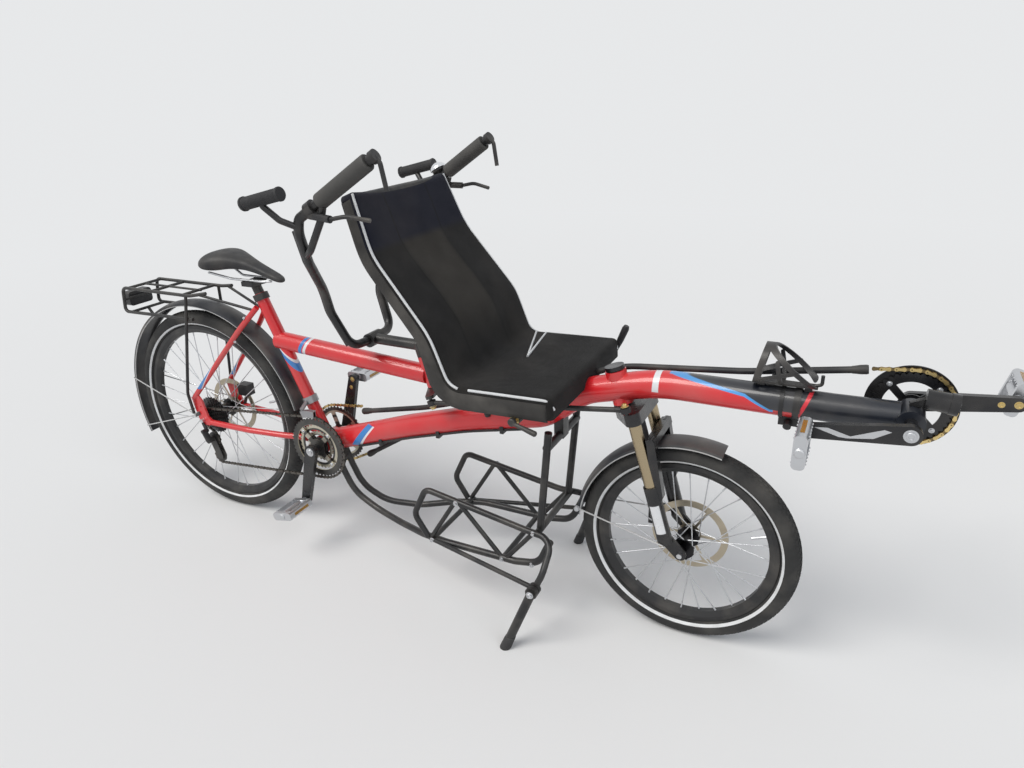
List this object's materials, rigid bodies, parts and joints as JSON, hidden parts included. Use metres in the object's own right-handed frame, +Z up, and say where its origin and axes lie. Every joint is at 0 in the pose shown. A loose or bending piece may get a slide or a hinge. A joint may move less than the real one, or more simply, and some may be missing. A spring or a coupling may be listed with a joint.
{
  "type": "semi-recumbent tandem bicycle",
  "caption": "Tandem bicycle with an upright rear saddle and handlebar, a mesh front seat with pedals ahead of the small steered wheel, racks and a two-leg stand.",
  "frame": {"origin": "on the floor below the middle of the whole bicycle's box", "axes": "+X forward, +Y to the riders' left, +Z up"},
  "size_m": [2.4373, 0.612, 1.144],
  "materials": {
    "frame_red": "gloss",
    "boom_paint": "satin",
    "black_metal": "satin",
    "tyre": "matt",
    "rim_black": "satin",
    "spoke_steel": "bright",
    "disc_steel": "brushed",
    "silver": "satin",
    "gear_steel": "satin",
    "chain_gold": "bright",
    "black_plastic": "matt",
    "grip_rubber": "matt",
    "saddle_black": "satin",
    "seat_mesh": "matt",
    "lamp": "gloss",
    "fork_black": "gloss",
    "pedal_silver": "satin",
    "lamp_black": "gloss",
    "fork_bronze": "bright",
    "chain_dark": "satin",
    "cable_black": "satin"
  },
  "bodies": {
    "frame": {"main_beam": "frame_red", "seat_tube": "frame_red", "top_tube": "frame_red", "chainstays": "frame_red", "seatstays": "frame_red", "rear_axle": "silver", "seat_post": "black_metal", "saddle": "saddle_black", "saddle_rails": "silver", "rear_rack": "black_metal", "rear_lamp": "lamp", "rear_mudguard": "black_plastic", "seat_frame": "black_metal", "seat_cover": "seat_mesh", "load_rack": "black_metal", "boom": "boom_paint", "boom_clamp": "black_metal", "bottle_cage": "black_plastic", "chain_tubes": "black_plastic", "stoker_chain": "chain_gold", "drive_chain": "chain_dark", "rear_derailleur": "black_metal", "front_derailleur": "black_metal", "rear_caliper": "black_metal", "front_lamp": "lamp_black", "frame_cables": "cable_black"},
    "fork": {"fork_crown": "fork_black", "fork_stanchions": "fork_bronze", "fork_lowers": "fork_black", "front_axle": "silver", "front_mudguard": "black_plastic", "front_caliper": "black_metal"},
    "front_wheel": {"front_tyre": "tyre", "front_rim": "rim_black", "front_hub": "spoke_steel", "front_rotor": "disc_steel"},
    "rear_wheel": {"rear_tyre": "tyre", "rear_rim": "rim_black", "rear_hub": "spoke_steel", "rear_rotor": "disc_steel", "cassette": "gear_steel"},
    "handlebar": {"steering_stem": "black_metal", "handlebar_arms": "black_metal", "handlebar_grips": "grip_rubber", "bar_controls": "black_metal", "bar_cables": "cable_black"},
    "tie_rod": {"tie_rod": "black_metal"},
    "captain_crankset": {"captain_cranks": "black_metal", "captain_chainrings": "gear_steel"},
    "stoker_crankset": {"stoker_cranks": "black_metal", "stoker_chainring": "gear_steel"},
    "captain_right_pedal": {"captain_right_pedal": "pedal_silver"},
    "captain_left_pedal": {"captain_left_pedal": "pedal_silver"},
    "stoker_right_pedal": {"stoker_right_pedal": "pedal_silver"},
    "stoker_left_pedal": {"stoker_left_pedal": "pedal_silver"},
    "right_stand_leg": {"right_stand_leg": "black_metal"},
    "left_stand_leg": {"left_stand_leg": "black_metal"}
  },
  "joints": [
    {"name": "rear_wheel_spin", "type": "hinge", "parent": "frame", "child": "rear_wheel", "pos_m": [-0.85423, 0, 0.331], "axis": [0, 1, 0], "continuous": true},
    {"name": "front_wheel_spin", "type": "hinge", "parent": "fork", "child": "front_wheel", "pos_m": [0.62577, 0, 0.253], "axis": [0, 1, 0], "continuous": true},
    {"name": "captain_crank_spin", "type": "hinge", "parent": "frame", "child": "captain_crankset", "pos_m": [-0.41923, 0, 0.315], "axis": [0, 1, 0], "continuous": true},
    {"name": "stoker_crank_spin", "type": "hinge", "parent": "frame", "child": "stoker_crankset", "pos_m": [1.02677, 0, 0.645], "axis": [0, 1, 0], "continuous": true},
    {"name": "captain_right_pedal_spin", "type": "hinge", "parent": "captain_crankset", "child": "captain_right_pedal", "pos_m": [-0.46746, -0.142, 0.14678], "axis": [0, 1, 0], "continuous": true},
    {"name": "captain_left_pedal_spin", "type": "hinge", "parent": "captain_crankset", "child": "captain_left_pedal", "pos_m": [-0.37099, 0.142, 0.48322], "axis": [0, 1, 0], "continuous": true},
    {"name": "stoker_right_pedal_spin", "type": "hinge", "parent": "stoker_crankset", "child": "stoker_right_pedal", "pos_m": [0.85319, -0.142, 0.62276], "axis": [0, 1, 0], "continuous": true},
    {"name": "stoker_left_pedal_spin", "type": "hinge", "parent": "stoker_crankset", "child": "stoker_left_pedal", "pos_m": [1.20036, 0.142, 0.66724], "axis": [0, 1, 0], "continuous": true},
    {"name": "fork_steer", "type": "hinge", "parent": "frame", "child": "fork", "pos_m": [0.4568, 0, 0.62155], "axis": [-0.2756, 0, 0.9613], "range_deg": [-30, 30]},
    {"name": "handlebar_turn", "type": "hinge", "parent": "frame", "child": "handlebar", "pos_m": [-0.04676, 0, 0.58559], "axis": [-0.2756, 0, 0.9613], "range_deg": [-30, 30]},
    {"name": "tie_rod_pivot", "type": "hinge", "parent": "handlebar", "child": "tie_rod", "pos_m": [0.00137, -0.075, 0.53386], "axis": [-0.2756, 0, 0.9613], "range_deg": [-30, 30]},
    {"name": "right_stand_fold", "type": "hinge", "parent": "frame", "child": "right_stand_leg", "pos_m": [0.32177, -0.201, 0.156], "axis": [0, 1, 0], "range_deg": [-90, 0]},
    {"name": "left_stand_fold", "type": "hinge", "parent": "frame", "child": "left_stand_leg", "pos_m": [0.32177, 0.201, 0.156], "axis": [0, 1, 0], "range_deg": [-90, 0]}
  ],
  "couplings": [
    {"joint": "handlebar_turn", "follows": "fork_steer", "ratio": 1},
    {"joint": "tie_rod_pivot", "follows": "fork_steer", "ratio": -1}
  ]
}
